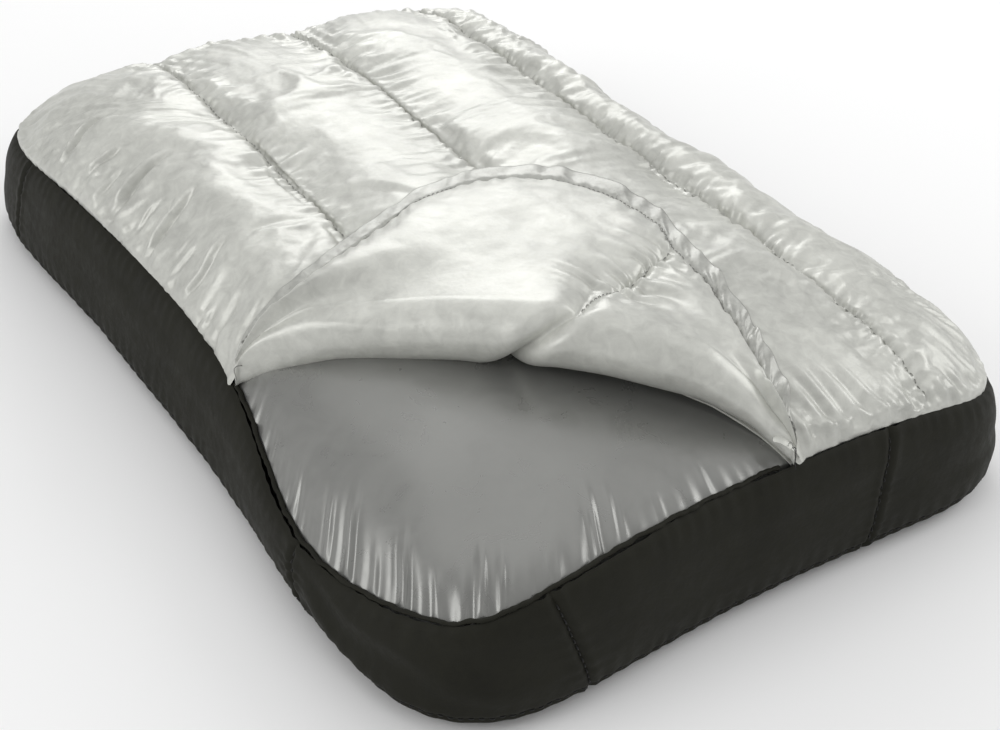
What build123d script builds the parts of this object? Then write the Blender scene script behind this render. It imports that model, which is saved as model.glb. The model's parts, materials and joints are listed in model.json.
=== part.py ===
from build123d import *
import math
import os

os.makedirs("parts", exist_ok=True)

# Inflatable camp pillow: a tailored fabric cover with a quilted down top,
# a folded-back corner flap, and an air bladder with a two-stage valve inside.
# +X across the quilt channels, +Y along them, +Z up, base on z = 0. Millimetres.

# ---------------------------------------------------------------- dimensions
RIM_A = 154.3            # half width of the rim outline before waisting
RIM_B = 226.9            # half length of the rim outline before waisting
RIM_N = 7.1              # corner squareness of the rim outline
RIM_WAIST_X = 0.103      # how far the long sides pull in at mid length
RIM_WAIST_Y = 0.049      # how far the short sides pull in at mid width
RIM_Z = 56.2             # rim height above the base
RIM_DROP_CORNER = -22.5  # rim drop towards the corners
RIM_DROP_SIDE = -3.1
RIM_RISE_END = 2.2
OPEN_SAG_Z = -22.5       # rim sag along the open long side
OPEN_SAG_OUT = 15.4      # and how far the open edge leans out
OPEN_SAG_AT = -0.563
OPEN_SAG_W = 0.28
BASE_N = 6.9
BASE_WAIST_X = 0.079
BASE_WAIST_Y = 0.045
BASE_OUT = 7.7           # base outline stands this far outside the rim's
WALL_BULGE = 5.9
WALL_ROUND = 8.0         # radius where the wall turns under
FABRIC = 0.8             # modelled fabric thickness
FILM = 0.7               # modelled bladder film thickness
DOME = 31.0              # crown of the quilt above the rim
DOME_P = 7.0
PUFF = 4.0               # loft of a channel above its seams
QUILT_T = 11.0           # down thickness at the crown
Z_AXIS = 89.8            # fold axis height, level with the quilt's crest
BLADDER_CROWN = 71.5
SEAM_X = (-84.0 + 2.5, 2.5, 84.0 + 2.5)
SEAM_SKEW = 18.8
SEAM_WAIST = 0.04

FOLD_P = (-141.0, -52.0)  # fold ends, on the long rim and on the short rim
FOLD_Q = (12.0, -216.0)
FLAP_EDGE = [(-127.0, -46.0), (-110.0, -44.0), (-76.0, -34.5), (-37.5, -21.0), (0.0, -16.0), (29.0, -28.0),
             (46.5, -58.0), (50.0, -88.5), (42.0, -126.0), (33.0, -157.0), (27.0, -180.0), (19.0, -200.0)]
FLAP_SEAM = ((-64.0, -134.0), (37.0, -110.0))
FLAP_T = 11.0            # flap thickness
FOLD_D = 18.0            # the fold stands this far inside the line P-Q at its middle
FLAP_BEND_D = 108.0      # distance of the shoulder bend from the line P-Q
HEM_W = 12.0
HINGE_GAP = 0.4

VALVE_X = 75.0
VALVE_Z = 31.0
VALVE_Y = 221.2          # inner face of the valve flange
BORE_R = 12.0
PLUG_SEAT_R = 13.0       # counterbore in the collar's mouth that takes the plug's skirt
PLUG_SEAT_DEPTH = 2.9
COLLAR_R = 14.5
FLANGE_R = 17.0


# ---------------------------------------------------------------- outline maths
def side_half(v, left):
    w = RIM_A * (1 - RIM_WAIST_X * (1 - min(v * v, 1.0)))
    if left:
        w += OPEN_SAG_OUT * math.exp(-((v - OPEN_SAG_AT) / OPEN_SAG_W) ** 2)
    return w


def uv(x, y):
    u = x / RIM_A
    v = y / RIM_B
    for _ in range(6):
        v = y / (RIM_B * (1 - RIM_WAIST_Y * (1 - min(u * u, 1.0))))
        u = x / side_half(v, x < 0)
    return u, v


def rho(x, y):
    u, v = uv(x, y)
    return (abs(u) ** RIM_N + abs(v) ** RIM_N) ** (1 / RIM_N)


def rim_height(x, y):
    u, v = uv(x, y)
    au, av = min(abs(u), 1.15), min(abs(v), 1.15)
    sag = math.exp(-((v - OPEN_SAG_AT) / OPEN_SAG_W) ** 2) * min(max(-u, 0.0), 1.1) ** 6
    return (RIM_Z + OPEN_SAG_Z * sag + RIM_DROP_CORNER * (au * av) ** 4
            + RIM_DROP_SIDE * au ** 4 * (1 - min(av, 1) ** 2) + RIM_RISE_END * av ** 4 * (1 - min(au, 1) ** 2))


def resample(pts, count):
    s = [0.0]
    m = len(pts)
    for i in range(m):
        p, q = pts[i], pts[(i + 1) % m]
        s.append(s[-1] + math.hypot(q[0] - p[0], q[1] - p[1]))
    out = []
    j = 0
    for k in range(count):
        g = s[-1] * k / count
        while s[j + 1] < g:
            j += 1
        t = (g - s[j]) / (s[j + 1] - s[j])
        p, q = pts[j], pts[(j + 1) % m]
        out.append((p[0] + (q[0] - p[0]) * t, p[1] + (q[1] - p[1]) * t))
    return out


def superellipse(n, wx, wy, sag_out, count=360):
    raw = []
    for k in range(1440):
        t = 2 * math.pi * k / 1440
        c, s = math.cos(t), math.sin(t)
        x = RIM_A * math.copysign(abs(c) ** (2 / n), c)
        y = RIM_B * math.copysign(abs(s) ** (2 / n), s)
        u, v = x / RIM_A, y / RIM_B
        raw.append((x * (1 - wx * (1 - v * v)), y * (1 - wy * (1 - u * u))))
    out = resample(raw, count)
    if sag_out:
        out = [(x - OPEN_SAG_OUT * math.exp(-((y / RIM_B - OPEN_SAG_AT) / OPEN_SAG_W) ** 2)
                * max(-x / RIM_A, 0.0) ** 3, y) for x, y in out]
    return out


def offset_pts(pts, d):
    m = len(pts)
    out = []
    for i in range(m):
        p, q = pts[i - 1], pts[(i + 1) % m]
        dx, dy = q[0] - p[0], q[1] - p[1]
        ln = math.hypot(dx, dy)
        out.append((pts[i][0] + dy / ln * d, pts[i][1] - dx / ln * d))
    return out


RIM = superellipse(RIM_N, RIM_WAIST_X, RIM_WAIST_Y, True)
BASE = offset_pts(superellipse(BASE_N, BASE_WAIST_X, BASE_WAIST_Y, False), BASE_OUT)


def at(pts, i):
    m = len(pts)
    j = math.floor(i)
    t = i - j
    p, q = pts[j % m], pts[(j + 1) % m]
    return (p[0] + (q[0] - p[0]) * t, p[1] + (q[1] - p[1]) * t)


def wall_point(i, k, inset=0.0):
    # station i round the outline, k = 0 at the base and 1 at the rim
    xb, yb = at(BASE, i)
    xr, yr = at(RIM, i)
    p, q = at(BASE, i - 1), at(BASE, i + 1)
    dx, dy = q[0] - p[0], q[1] - p[1]
    ln = math.hypot(dx, dy)
    nx, ny = dy / ln, -dx / ln
    zr = rim_height(xr, yr)
    z = zr * k
    out = WALL_BULGE * math.sqrt(max(4 * k * (1 - k), 0.0)) - inset
    if z < WALL_ROUND:
        out -= WALL_ROUND * (1 - math.sqrt(max(1 - (1 - z / WALL_ROUND) ** 2, 0.0)))
    return (xb + (xr - xb) * k + nx * out, yb + (yr - yb) * k + ny * out, z)


# ---------------------------------------------------------------- quilt maths
def seam_x(i, y):
    v = y / RIM_B
    return SEAM_X[i] * (1 - SEAM_WAIST * (1 - v * v)) + SEAM_SKEW * (v + 1) / 2


def puff(x, y):
    r = min(rho(x, y), 1.0)
    edges = [-side_half(max(min(y / RIM_B, 1), -1), True)] + [seam_x(i, y) for i in range(3)] \
        + [side_half(max(min(y / RIM_B, 1), -1), False)]
    for a, b in zip(edges, edges[1:]):
        if a <= x <= b:
            t = (x - a) / (b - a)
            return PUFF * (math.sin(math.pi * t) ** 2 - 0.5) * (1 - r ** 6)
    return 0.0


def dome(x, y, h, p=DOME_P):
    return h * (1 - rho(x, y) ** p)


def z_shell(x, y):
    return rim_height(x, y) + dome(x, y, DOME) + puff(x, y)


def z_lining(x, y):
    r = min(rho(x, y), 1.0)
    return z_shell(x, y) - 2.4 - (QUILT_T - 1.0) * (1 - r ** 6)


def z_bladder(x, y):
    return rim_height(x, y) - 3.5 + dome(x, y, BLADDER_CROWN - RIM_Z + 3.5)


def height_face(fn, x0, x1, y0, y1, nx, ny):
    rows = []
    for i in range(nx):
        x = x0 + (x1 - x0) * i / (nx - 1)
        rows.append([Vector(x, y0 + (y1 - y0) * j / (ny - 1), fn(x, y0 + (y1 - y0) * j / (ny - 1))) for j in range(ny)])
    return Face.make_surface_from_array_of_points(rows, tol=0.05, min_deg=3, max_deg=3)


def slab(fn, t, nx=35, ny=47, box=(-168.0, 168.0, -236.0, 236.0)):
    f = height_face(fn, *box, nx, ny)
    return Solid.extrude(f, Vector(0, 0, t))


def outline_prism(pts, z0, z1, step=4):
    pl = [Vector(p[0], p[1], z0) for p in pts[::step]]
    f = Face(Wire([Edge.make_spline(pl, periodic=True)]))
    return Solid.extrude(f, Vector(0, 0, z1 - z0))


def solids_of(shape):
    s = [q for q in shape.solids() if q.volume > 2.0]
    return s[0] if len(s) == 1 else Compound(children=list(s))


written = []


def put(name, shape):
    s = solids_of(shape)
    s.label = name
    export_step(s, "parts/%s.step" % name)
    b = s.bounding_box()
    written.append(name)
    print("%-22s vol %9.1f  x %.1f..%.1f y %.1f..%.1f z %.1f..%.1f" % (
        name, s.volume, b.min.X, b.max.X, b.min.Y, b.max.Y, b.min.Z, b.max.Z), flush=True)
    return s


# fold frame: e along the fold, n away from the open corner
FLEN = math.hypot(FOLD_Q[0] - FOLD_P[0], FOLD_Q[1] - FOLD_P[1])
EX, EY = (FOLD_Q[0] - FOLD_P[0]) / FLEN, (FOLD_Q[1] - FOLD_P[1]) / FLEN
NX, NY = -EY, EX


def sd(s, d, z=0.0):
    return Vector(FOLD_P[0] + EX * s + NX * d, FOLD_P[1] + EY * s + NY * d, z)


def sd_box(s0, s1, d0, d1, z0, z1):
    f = Face(Wire.make_polygon([sd(s0, d0, z0), sd(s1, d0, z0), sd(s1, d1, z0), sd(s0, d1, z0)], close=True))
    return Solid.extrude(f, Vector(0, 0, z1 - z0))


def fold_side(extra, z0, z1):
    # everything on the far side of the fold, which bows inwards between its ends
    prof = [(-460, 0.0), (0.0, 0.0), (14.0, 6.0), (34.0, 12.5), (66.0, 17.0), (112.0, 18.0), (158.0, 17.0),
            (190.0, 12.5), (210.0, 6.0), (224.3, 0.0), (460, 0.0)]
    pts = [sd(s, d * FOLD_D / 18.0 + extra, z0) for s, d in prof] + [sd(460, 460, z0), sd(-460, 460, z0)]
    return Solid.extrude(Face(Wire.make_polygon(pts, close=True)), Vector(0, 0, z1 - z0))


def flap_side(extra, z0, z1):
    # the same bow mirrored in the fold line, so the flap clears the fixed quilt when it is turned down
    prof = [(-460, 0.0), (0.0, 0.0), (14.0, 6.0), (34.0, 12.5), (66.0, 17.0), (112.0, 18.0), (158.0, 17.0),
            (190.0, 12.5), (210.0, 6.0), (224.3, 0.0), (460, 0.0)]
    pts = [sd(s, 2 * FOLD_D - d * FOLD_D / 18.0 + extra, z0) for s, d in prof] + [sd(460, 460, z0), sd(-460, 460, z0)]
    return Solid.extrude(Face(Wire.make_polygon(pts, close=True)), Vector(0, 0, z1 - z0))


# ---------------------------------------------------------------- cover: base and sidewall
base_pts = offset_pts([at(BASE, i) for i in range(360)], -4.6)
put("base_panel", outline_prism(base_pts, 0.0, FABRIC))

PANELS = [  # name, first and last station, inward direction
    ("side_panel_left", 137, 214, (1, 0)),
    ("corner_panel_front_left", 214.25, 242.75, (0.7071, 0.7071)),
    ("side_panel_front", 243, 286, (0, 1)),
    ("corner_panel_front_right", 286.25, 316.75, (-0.7071, 0.7071)),
    ("side_panel_right", 317, 394, (-1, 0)),
    ("corner_panel_back_right", 34.25, 62.75, (-0.7071, -0.7071)),
    ("side_panel_back", 63, 106, (0, -1)),
    ("corner_panel_back_left", 106.25, 136.75, (0.7071, -0.7071)),
]


def wall_face(i0, i1, k0z, inset=0.0, rows=11, drop=0.0):
    cols = max(int(abs(i1 - i0) / 2.2) + 1, 9)
    grid = []
    for c in range(cols + 1):
        i = i0 + (i1 - i0) * c / cols
        xr, yr = at(RIM, i)
        zr = rim_height(xr, yr)
        k0 = k0z / zr
        k1 = 1 - drop / zr
        grid.append([Vector(*wall_point(i, k0 + (k1 - k0) * (1 - math.cos(math.pi * r / rows)) / 2, inset))
                     for r in range(rows + 1)])
    return Face.make_surface_from_array_of_points(grid, tol=0.05, min_deg=3, max_deg=3)


VALVE_HOLE = Solid.make_cylinder(19.3, 60, Plane(origin=(VALVE_X, 200, VALVE_Z), z_dir=(0, 1, 0)))
for name, i0, i1, d in PANELS:
    f = wall_face(i0, i1, FABRIC + 0.15)
    s = Solid.extrude(f, Vector(d[0] * FABRIC, d[1] * FABRIC, 0))
    if name == "side_panel_back":
        s = s - VALVE_HOLE
    put(name, s)

# ---------------------------------------------------------------- quilt, fixed part
ALL_TOP = [(x, y) for x, y in offset_pts(RIM, -1.2)]
cover_region = outline_prism(ALL_TOP, -5, 130) & fold_side(0.4, -5, 130)
shell = slab(lambda x, y: z_shell(x, y) - FABRIC, FABRIC)
put("quilt_shell", shell & cover_region)
lining = slab(lambda x, y: z_lining(x, y), FABRIC)
put("quilt_lining", lining & cover_region)

fill_region = outline_prism(offset_pts(RIM, -6.0), -5, 130) & fold_side(2.0, -5, 130)
fill_top = slab(lambda x, y: z_shell(x, y) - FABRIC - 0.15 - 45.0, 45.0)
fill_bot = slab(lambda x, y: z_lining(x, y) + FABRIC + 0.15, 60.0, 35, 47, (-166.0, 166.0, -234.0, 234.0))
fill_all = (fill_top & fill_region) & fill_bot


def channel_prism(i):
    ys = [-240 + 480 * k / 24 for k in range(25)]
    lo = [(-175.0 if i == 0 else seam_x(i - 1, y) + 0.8, y) for y in ys]
    hi = [(175.0 if i == 3 else seam_x(i, y) - 0.8, y) for y in ys]
    e1 = Edge.make_spline([Vector(x, y, -5) for x, y in lo])
    e2 = Edge.make_spline([Vector(x, y, -5) for x, y in hi])
    e3 = Edge.make_line(Vector(*lo[0], -5), Vector(*hi[0], -5))
    e4 = Edge.make_line(Vector(*lo[-1], -5), Vector(*hi[-1], -5))
    return Solid.extrude(Face(Wire([e1, e3, e2, e4])), Vector(0, 0, 140))


for i in range(4):
    put("down_fill_%d" % (i + 1), fill_all & channel_prism(i))

# ---------------------------------------------------------------- corner flap, folded back on the quilt
edge_pts = [Vector(FOLD_P[0] + 7, FOLD_P[1] - 0.5, 0)] + [Vector(x, y, 0) for x, y in FLAP_EDGE] \
    + [Vector(FOLD_Q[0] - 2, FOLD_Q[1] + 9.0, 0)]
flap_plan = Face(Wire([Edge.make_spline(edge_pts), Edge.make_line(edge_pts[-1], edge_pts[0])]))
zf = Z_AXIS + HINGE_GAP
crown = outline_prism([(x * 0.86, y * 0.93) for x, y in RIM], zf - 1, zf + 40)
flap_all = Solid.extrude(Pos(0, 0, zf) * flap_plan, Vector(0, 0, FLAP_T)) & sd_box(-20, 240, FOLD_D + 0.6, 170, zf - 1, zf + 40) & crown
flap_all = flap_all & flap_side(0.9, zf - 2, zf + 41)
inner = sd_box(-20, 240, FOLD_D + 0.6, FLAP_BEND_D - 0.2, zf - 1, zf + 40)
outer = sd_box(-20, 240, FLAP_BEND_D + 0.2, 170, zf - 1, zf + 40)


def layer(z0, z1):
    return outline_prism([(x * 1.1, y * 1.1) for x, y in RIM], z0, z1)


z_sh1 = zf + FABRIC
z_li0 = zf + FLAP_T - FABRIC
core_pts = []
cx0, cy0 = 0.0, 0.0
poly = [(p.X, p.Y) for p in edge_pts]
cx0 = -30.0
cy0 = -95.0
for x, y in poly:
    dx, dy = x - cx0, y - cy0
    ln = math.hypot(dx, dy)
    core_pts.append(Vector(cx0 + dx * (ln - HEM_W) / ln, cy0 + dy * (ln - HEM_W) / ln, 0))
core_face = Face(Wire([Edge.make_spline(core_pts), Edge.make_line(core_pts[-1], core_pts[0])]))
core = Solid.extrude(Pos(0, 0, zf - 1) * core_face, Vector(0, 0, 60))

flap_shell = flap_all & layer(zf, z_sh1)
flap_lining = flap_all & layer(z_li0, z_li0 + FABRIC)
put("flap_shell", flap_shell & inner)
put("flap_lining", flap_lining & inner & core)
put("flap_tip_shell", flap_shell & outer)
put("flap_tip_lining", flap_lining & outer & core)

# seam wall between the two flap chambers
f0, f1 = FLAP_SEAM
sdx, sdy = f1[0] - f0[0], f1[1] - f0[1]
sl = math.hypot(sdx, sdy)
sx_, sy_ = sdx / sl, sdy / sl


def seam_side(sign):
    a = Vector(f0[0] - sx_ * 60 - sy_ * 0.8 * sign, f0[1] - sy_ * 60 + sx_ * 0.8 * sign, zf - 1)
    b = Vector(f1[0] + sx_ * 60 - sy_ * 0.8 * sign, f1[1] + sy_ * 60 + sx_ * 0.8 * sign, zf - 1)
    c = Vector(b.X - sy_ * 260 * sign, b.Y + sx_ * 260 * sign, zf - 1)
    d = Vector(a.X - sy_ * 260 * sign, a.Y + sx_ * 260 * sign, zf - 1)
    return Solid.extrude(Face(Wire.make_polygon([a, b, c, d], close=True)), Vector(0, 0, 60))


flap_mid = flap_all & layer(z_sh1 + 0.15, z_li0 - 0.15) & core
put("flap_fill_1", flap_mid & inner & seam_side(1))
put("flap_fill_2", flap_mid & inner & seam_side(-1))
put("flap_tip_fill", flap_mid & outer)
hem_band = (flap_all & layer(z_sh1 + 0.15, z_sh1 + 4.5)) - core
put("flap_hem", hem_band & inner)
put("flap_tip_hem", hem_band & outer)

# ---------------------------------------------------------------- hem along the opening's rim
hem_stations = [194.5 + (270.0 - 194.5) * k / 34 for k in range(35)]
grid = []
for i in hem_stations:
    x, y = at(RIM, i)
    p, q = at(RIM, i - 1), at(RIM, i + 1)
    dx, dy = q[0] - p[0], q[1] - p[1]
    ln = math.hypot(dx, dy)
    z = rim_height(x, y) + 0.25
    grid.append([Vector(x - dy / ln * w, y + dx / ln * w, z) for w in (-0.2, 1.0, 2.2, 3.4)])
hem_face = Face.make_surface_from_array_of_points(grid, tol=0.05, min_deg=3, max_deg=3)
put("opening_hem", Solid.extrude(hem_face, Vector(0, 0, 1.2)))

# ---------------------------------------------------------------- air bladder
bl_region = outline_prism(offset_pts(RIM, -4.6), -5, 130)
put("bladder_top", slab(lambda x, y: z_bladder(x, y) - FILM, FILM) & bl_region)
bot_pts = offset_pts([at(BASE, i) for i in range(360)], -7.5)
put("bladder_bottom", outline_prism(bot_pts, FABRIC + 0.4, FABRIC + 0.4 + FILM))


def section_pts(z, inset):
    out = []
    for i in range(0, 360, 4):
        xr, yr = at(RIM, i)
        k = min(z / RIM_Z, 1.0)
        x, y, _ = wall_point(i, k, inset)
        out.append(Vector(x, y, z))
    return out


def ring_solid(inset, zs):
    faces = [Face(Wire([Edge.make_spline(section_pts(z, inset), periodic=True)])) for z in zs]
    return Solid.make_loft([f.outer_wire() for f in faces])


zs = (2.6, 7.0, 14.0, 24.0, 34.0, 44.0, 52.0)
g_out = ring_solid(3.2, zs)
g_in = ring_solid(3.2 + FILM, zs)
under = slab(lambda x, y: rim_height(x, y) - 6.0 - 90.0, 90.0)
gusset = ((g_out - g_in) & under) - Solid.make_cylinder(COLLAR_R + 0.5, 40, Plane(origin=(VALVE_X, 205, VALVE_Z), z_dir=(0, 1, 0)))
put("bladder_gusset", gusset)

# ---------------------------------------------------------------- valve
def ycyl(r, y0, y1, x=VALVE_X, z=VALVE_Z):
    return Solid.make_cylinder(r, y1 - y0, Plane(origin=(x, y0, z), z_dir=(0, 1, 0)))


def xcyl(r, x0, x1, y, z):
    return Solid.make_cylinder(r, x1 - x0, Plane(origin=(x0, y, z), z_dir=(1, 0, 0)))


y0 = VALVE_Y - 3.2
yc = y0 + 1.2            # flange outer face
ym = yc + 6.3            # collar mouth
put("valve_flange", ycyl(FLANGE_R, y0, yc) - ycyl(BORE_R, y0 - 1, yc + 1))
hz = VALVE_Z + 16.6      # plug hinge axis height
hy = ym - 0.1
collar = ycyl(COLLAR_R, yc, ym) - ycyl(BORE_R, yc - 1, ym + 1) - ycyl(PLUG_SEAT_R, ym - PLUG_SEAT_DEPTH, ym + 1)
neck = Solid.make_box(9.0, 3.2, 5.0, Plane(origin=(VALVE_X - 4.5, ym - 3.4, VALVE_Z + 13.6)))
neck = neck - ycyl(PLUG_SEAT_R + 0.1, yc - 1, ym + 1)
knuckle = xcyl(1.8, VALVE_X - 4.5, VALVE_X + 4.5, hy, hz)
slot = Solid.make_box(4.6, 8.0, 8.0, Plane(origin=(VALVE_X - 2.3, hy - 2.4, hz - 4.0)))
collar = collar + ((neck + knuckle) - slot) - xcyl(0.75, VALVE_X - 6, VALVE_X + 6, hy, hz)
put("valve_collar", collar)
put("plug_hinge_pin", xcyl(0.70, VALVE_X - 4.5, VALVE_X + 4.5, hy, hz))

# dump plug: lid, skirt inside the collar, hinge tongue and the oral inflation port
yl = ym + 0.3
lid = ycyl(14.2, yl, yl + 1.6)
skirt = ycyl(PLUG_SEAT_R - 0.35, yl - 2.6, yl) - ycyl(PLUG_SEAT_R - 1.5, yl - 3, yl)
tongue = Solid.make_box(4.0, 1.6, 4.4, Plane(origin=(VALVE_X - 2.0, yl, VALVE_Z + 12.2)))
tknuckle = xcyl(1.6, VALVE_X - 2.0, VALVE_X + 2.0, hy, hz) - xcyl(0.78, VALVE_X - 3, VALVE_X + 3, hy, hz)
tongue = tongue - xcyl(0.78, VALVE_X - 3, VALVE_X + 3, hy, hz)
pz = VALVE_Z - 2.0       # port axis height
plug = lid + skirt + tongue + tknuckle
plug = plug - ycyl(3.2, yl - 4, yl + 3, VALVE_X, pz)
chz = pz + 6.6           # cap hinge axis
chy = yl + 1.6 + 1.0
cap_lugs = Solid.make_box(5.0, 1.6, 1.8, Plane(origin=(VALVE_X - 2.5, yl + 1.4, chz - 0.9))) \
    + xcyl(0.9, VALVE_X - 2.5, VALVE_X + 2.5, chy, chz)
cap_lugs = cap_lugs - Solid.make_box(2.6, 4.0, 4.0, Plane(origin=(VALVE_X - 1.3, yl + 1.65, chz - 2.0)))
plug = (plug + cap_lugs) - xcyl(0.43, VALVE_X - 4, VALVE_X + 4, chy, chz)
put("dump_plug", plug)
put("cap_hinge_pin", xcyl(0.40, VALVE_X - 2.4, VALVE_X + 2.4, chy, chz))

# inflation cap: disc over the port with a stub inside it
yk = yl + 1.6 + 0.15
cap = ycyl(4.9, yk, yk + 1.3, VALVE_X, pz) + ycyl(2.85, yk - 1.4, yk, VALVE_X, pz)
cap = cap + Solid.make_box(2.0, 1.3, 2.6, Plane(origin=(VALVE_X - 1.0, yk, pz + 4.0))) \
    + (xcyl(0.8, VALVE_X - 1.0, VALVE_X + 1.0, chy, chz))
cap = cap - xcyl(0.46, VALVE_X - 3, VALVE_X + 3, chy, chz)
cap = cap + Solid.make_box(4.0, 0.9, 1.6, Plane(origin=(VALVE_X - 2.0, yk, pz - 6.2)))
put("inflation_cap", cap)

# non-return flap behind the port
yf = yl - 0.35
flap_disc = ycyl(4.4, yf - 0.7, yf, VALVE_X, pz) + Solid.make_box(3.0, 0.7, 2.2, Plane(origin=(VALVE_X - 1.5, yf - 0.7, pz + 3.6)))
put("check_flap", flap_disc)
put("plug_gasket", (ycyl(13.9, ym + 0.02, yl - 0.02) - ycyl(PLUG_SEAT_R + 0.1, ym - 1, yl + 1)))

print(len(written), "nodes")
print("fold axis at", sd(FLEN / 2, FOLD_D, Z_AXIS), "direction", (EX, EY))
print("bend axis at", sd(FLEN / 2, FLAP_BEND_D, zf + FLAP_T + 0.3))
print("plug hinge", (VALVE_X, hy, hz), "cap hinge", (VALVE_X, chy, chz), "check hinge", (VALVE_X, yf, pz + 5.6), "port", (VALVE_X, yl, pz))
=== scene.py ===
import json
import math

import bmesh
import bpy
import numpy as np
from mathutils import Matrix, Vector

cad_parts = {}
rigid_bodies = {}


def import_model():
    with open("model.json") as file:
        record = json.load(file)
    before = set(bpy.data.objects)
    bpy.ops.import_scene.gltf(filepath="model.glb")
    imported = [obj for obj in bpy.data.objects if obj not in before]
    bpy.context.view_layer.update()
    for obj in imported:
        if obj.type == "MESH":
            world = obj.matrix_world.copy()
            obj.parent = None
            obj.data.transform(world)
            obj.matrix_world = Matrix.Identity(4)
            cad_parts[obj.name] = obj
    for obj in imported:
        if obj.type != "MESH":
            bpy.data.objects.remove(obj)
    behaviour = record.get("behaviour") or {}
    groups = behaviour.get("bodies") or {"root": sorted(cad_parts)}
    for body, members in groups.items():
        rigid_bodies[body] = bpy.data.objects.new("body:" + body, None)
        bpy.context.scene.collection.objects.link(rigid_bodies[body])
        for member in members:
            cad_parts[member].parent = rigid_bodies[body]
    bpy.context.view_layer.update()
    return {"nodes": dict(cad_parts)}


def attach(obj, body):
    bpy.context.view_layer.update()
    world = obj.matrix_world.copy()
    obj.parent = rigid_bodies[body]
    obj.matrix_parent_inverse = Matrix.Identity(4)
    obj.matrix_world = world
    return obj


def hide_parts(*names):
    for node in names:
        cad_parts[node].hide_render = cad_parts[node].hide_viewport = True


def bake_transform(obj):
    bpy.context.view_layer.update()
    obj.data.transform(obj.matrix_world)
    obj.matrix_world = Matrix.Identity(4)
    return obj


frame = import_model()
MM = 0.001
rng = np.random.default_rng(7)

# ---------------------------------------------------------------- shape, as in the CAD (mm)
RIM_A, RIM_B, RIM_N = 154.3, 226.9, 7.1
WX, WY = 0.103, 0.049
SAG_Z, SAG_OUT, SAG_AT, SAG_W = -22.5, 15.4, -0.563, 0.28
BASE_N, BWX, BWY, BASE_OUT, BULGE = 6.9, 0.079, 0.045, 7.7, 5.9
Z_AXIS = 89.8
P = np.array([-141.0, -52.0])
Q = np.array([12.0, -216.0])
FLEN = float(np.hypot(*(Q - P)))
E = (Q - P) / FLEN
N = np.array([-E[1], E[0]])
SEAMS = (-81.5, 2.5, 86.5)


def lerp(a, b, t):
    return a + (b - a) * t


def smooth(a, b, x):
    t = np.clip((x - a) / (b - a), 0, 1)
    return t * t * (3 - 2 * t)


def side_half(v, x):
    w = RIM_A * (1 - WX * (1 - np.minimum(v * v, 1)))
    return w + np.where(x < 0, SAG_OUT * np.exp(-((v - SAG_AT) / SAG_W) ** 2), 0)


def uv(x, y):
    x = np.asarray(x, float); y = np.asarray(y, float)
    u, v = x / RIM_A, y / RIM_B
    for _ in range(6):
        v = y / (RIM_B * (1 - WY * (1 - np.minimum(u * u, 1))))
        u = x / side_half(v, x)
    return u, v


def rho(x, y):
    u, v = uv(x, y)
    return (np.abs(u) ** RIM_N + np.abs(v) ** RIM_N) ** (1 / RIM_N)


def rim_z(x, y):
    u, v = uv(x, y)
    au, av = np.minimum(np.abs(u), 1.1), np.minimum(np.abs(v), 1.1)
    sag = np.exp(-((v - SAG_AT) / SAG_W) ** 2) * np.clip(-u, 0, 1.1) ** 6
    return (56.2 + SAG_Z * sag - 22.5 * (au * av) ** 4 - 3.1 * au ** 4 * (1 - np.minimum(av, 1) ** 2)
            + 2.2 * av ** 4 * (1 - np.minimum(au, 1) ** 2))


def outline(n, wx, wy, sag):
    t = np.linspace(0, 2 * np.pi, 5761)[:-1]
    c, s = np.cos(t), np.sin(t)
    x = RIM_A * np.sign(c) * np.abs(c) ** (2 / n)
    y = RIM_B * np.sign(s) * np.abs(s) ** (2 / n)
    u, v = x / RIM_A, y / RIM_B
    x, y = x * (1 - wx * (1 - v * v)), y * (1 - wy * (1 - u * u))
    xx, yy = np.append(x, x[0]), np.append(y, y[0])
    L = np.concatenate([[0], np.cumsum(np.hypot(np.diff(xx), np.diff(yy)))])
    g = np.linspace(0, L[-1], 2881)
    x, y = np.interp(g, L, xx), np.interp(g, L, yy)
    if sag:
        x = x - SAG_OUT * np.exp(-((y / RIM_B - SAG_AT) / SAG_W) ** 2) * np.maximum(-x / RIM_A, 0) ** 3
    return x, y


RIM = outline(RIM_N, WX, WY, True)
BASE0 = outline(BASE_N, BWX, BWY, False)


def at(c, i):
    i = np.mod(np.asarray(i, float), 360) * 8
    k = np.arange(2881)
    return np.interp(i, k, c[0]), np.interp(i, k, c[1])


def normal_at(i):
    xa, ya = at(BASE0, np.asarray(i) - 1.5)
    xb, yb = at(BASE0, np.asarray(i) + 1.5)
    dx, dy = xb - xa, yb - ya
    ln = np.hypot(dx, dy)
    return dy / ln, -dx / ln


def wall_point(i, k, out=0.0):
    xb, yb = at(BASE0, i)
    nx, ny = normal_at(i)
    xb, yb = xb + nx * BASE_OUT, yb + ny * BASE_OUT
    xr, yr = at(RIM, i)
    zr = rim_z(xr, yr)
    z = zr * k
    o = BULGE * np.sqrt(np.clip(4 * k * (1 - k), 0, 1)) + out
    o = o - np.where(z < 9, 9 * (1 - np.sqrt(np.clip(1 - (1 - z / 9) ** 2, 0, 1))), 0)
    return xb + (xr - xb) * k + nx * o, yb + (yr - yb) * k + ny * o, z


def seam_x(j, y):
    v = np.asarray(y, float) / RIM_B
    return SEAMS[j] * (1 - 0.04 * (1 - v * v)) + 18.8 * (v + 1) / 2


def sd(x, y):
    return (x - P[0]) * E[0] + (y - P[1]) * E[1], (x - P[0]) * N[0] + (y - P[1]) * N[1]


def from_sd(s, d):
    return P[0] + E[0] * s + N[0] * d, P[1] + E[1] * s + N[1] * d


# value noise, smooth and seeded, for folds as geometry
_G = rng.random((64, 64, 64))


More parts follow.
